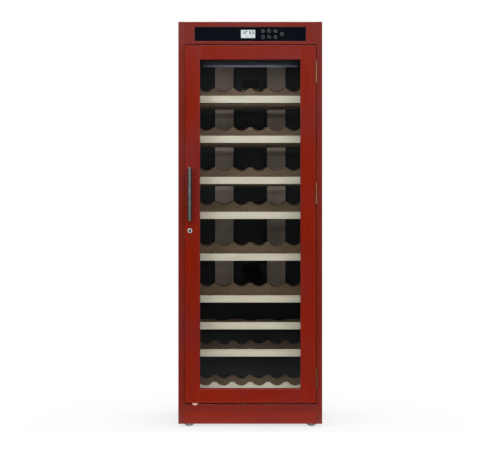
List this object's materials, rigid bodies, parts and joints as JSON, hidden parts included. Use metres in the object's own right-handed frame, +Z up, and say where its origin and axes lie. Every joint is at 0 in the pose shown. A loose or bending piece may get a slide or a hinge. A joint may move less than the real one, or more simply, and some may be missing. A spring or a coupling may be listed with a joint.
{
  "type": "wine cabinet",
  "caption": "Tall wine cabinet with a mahogany-red case, framed glass door, black control panel and inclined bottle shelves.",
  "frame": {"origin": "centre of the bounding box, on the floor under the feet", "axes": "+Z up along the height, -Y out of the door, +X to the right seen from the front"},
  "size_m": [0.655, 0.718, 1.844],
  "materials": {
    "case_wood": "gloss",
    "door_wood": "gloss",
    "pale_wood": "satin",
    "board": "matte",
    "sheet_steel": "satin",
    "liner": "matte",
    "foam": "matte",
    "evaporator": "satin",
    "black_plastic": "matte",
    "lamp": "satin",
    "machine_black": "gloss",
    "rubber": "matte",
    "glass": "polished",
    "spacer": "satin",
    "control_glass": "polished",
    "display": "satin",
    "handle_black": "satin",
    "inlay": "satin",
    "chrome": "polished",
    "steel": "satin",
    "brass": "satin",
    "glide": "satin"
  },
  "bodies": {
    "cabinet": {"left_side_panel": "case_wood", "right_side_panel": "case_wood", "top_panel": "case_wood", "control_rail": "case_wood", "base_rail": "case_wood", "plinth": "case_wood", "bottom_rack": "pale_wood", "back_uprights": "pale_wood", "base_panel": "board", "back_panel": "board", "underfloor_pan": "sheet_steel", "shelf_runners": "sheet_steel", "inner_liner": "liner", "lamp_housing": "liner", "air_duct": "liner", "foam_insulation": "foam", "evaporator": "evaporator", "fan_motor": "black_plastic", "power_inlet": "black_plastic", "control_board": "black_plastic", "condenser_clips": "black_plastic", "drip_tray": "black_plastic", "lamp_diffuser": "lamp", "compressor": "machine_black", "condenser": "machine_black", "compressor_mounts": "rubber", "control_glass": "control_glass", "display_screen": "display", "rear_feet": "chrome", "lock_strike": "steel", "hinge_frame_leaves": "brass", "hinge_pins": "brass", "case_screws": "brass", "door_glide": "glide"},
    "door": {"door_stile_left": "door_wood", "door_stile_right": "door_wood", "door_rail_top": "door_wood", "door_rail_bottom": "door_wood", "glazing_beads": "door_wood", "glass_panes": "glass", "glass_spacer": "spacer", "door_gasket": "rubber", "handle_bar": "handle_black", "handle_inlay": "inlay", "lock_housing": "chrome", "hinge_door_leaves": "brass", "door_screws": "brass"},
    "lock": {"lock_plug": "chrome", "lock_cam": "steel"},
    "fan": {"circulation_fan": "black_plastic"},
    "foot_left": {"foot_front_left": "chrome"},
    "foot_right": {"foot_front_right": "chrome"},
    "shelf_1": {"shelf_1": "pale_wood"},
    "shelf_2": {"shelf_2": "pale_wood"},
    "shelf_3": {"shelf_3": "pale_wood"},
    "shelf_4": {"shelf_4": "pale_wood"},
    "shelf_5": {"shelf_5": "pale_wood"},
    "shelf_6": {"shelf_6": "pale_wood"},
    "shelf_7": {"shelf_7": "pale_wood"},
    "shelf_8": {"shelf_8": "pale_wood"}
  },
  "joints": [
    {"name": "door_hinge", "type": "hinge", "parent": "cabinet", "child": "door", "pos_m": [0.301, -0.3249, 0.92], "axis": [0, 0, 1], "range_deg": [0, 170]},
    {"name": "lock_turn", "type": "hinge", "parent": "door", "child": "lock", "pos_m": [-0.2747, -0.321, 0.893], "axis": [0, 1, 0], "range_deg": [0, 90]},
    {"name": "fan_spin", "type": "hinge", "parent": "cabinet", "child": "fan", "pos_m": [0, 0.2555, 0.6835], "axis": [0, 1, 0], "continuous": true},
    {"name": "foot_left_turn", "type": "hinge", "parent": "cabinet", "child": "foot_left", "pos_m": [-0.28, -0.276, 0], "axis": [0, 0, 1], "continuous": true},
    {"name": "foot_right_turn", "type": "hinge", "parent": "cabinet", "child": "foot_right", "pos_m": [0.28, -0.276, 0], "axis": [0, 0, 1], "continuous": true},
    {"name": "shelf_1_slide", "type": "slide", "parent": "cabinet", "child": "shelf_1", "axis": [0, -1, 0], "range_m": [0, 0.055]},
    {"name": "shelf_2_slide", "type": "slide", "parent": "cabinet", "child": "shelf_2", "axis": [0, -1, 0], "range_m": [0, 0.055]},
    {"name": "shelf_3_slide", "type": "slide", "parent": "cabinet", "child": "shelf_3", "axis": [0, -1, 0], "range_m": [0, 0.055]},
    {"name": "shelf_4_slide", "type": "slide", "parent": "cabinet", "child": "shelf_4", "axis": [0, -1, 0], "range_m": [0, 0.055]},
    {"name": "shelf_5_slide", "type": "slide", "parent": "cabinet", "child": "shelf_5", "axis": [0, -1, 0], "range_m": [0, 0.055]},
    {"name": "shelf_6_slide", "type": "slide", "parent": "cabinet", "child": "shelf_6", "axis": [0, -1, 0], "range_m": [0, 0.055]},
    {"name": "shelf_7_slide", "type": "slide", "parent": "cabinet", "child": "shelf_7", "axis": [0, -1, 0], "range_m": [0, 0.055]},
    {"name": "shelf_8_slide", "type": "slide", "parent": "cabinet", "child": "shelf_8", "axis": [0, -1, 0], "range_m": [0, 0.055]}
  ]
}
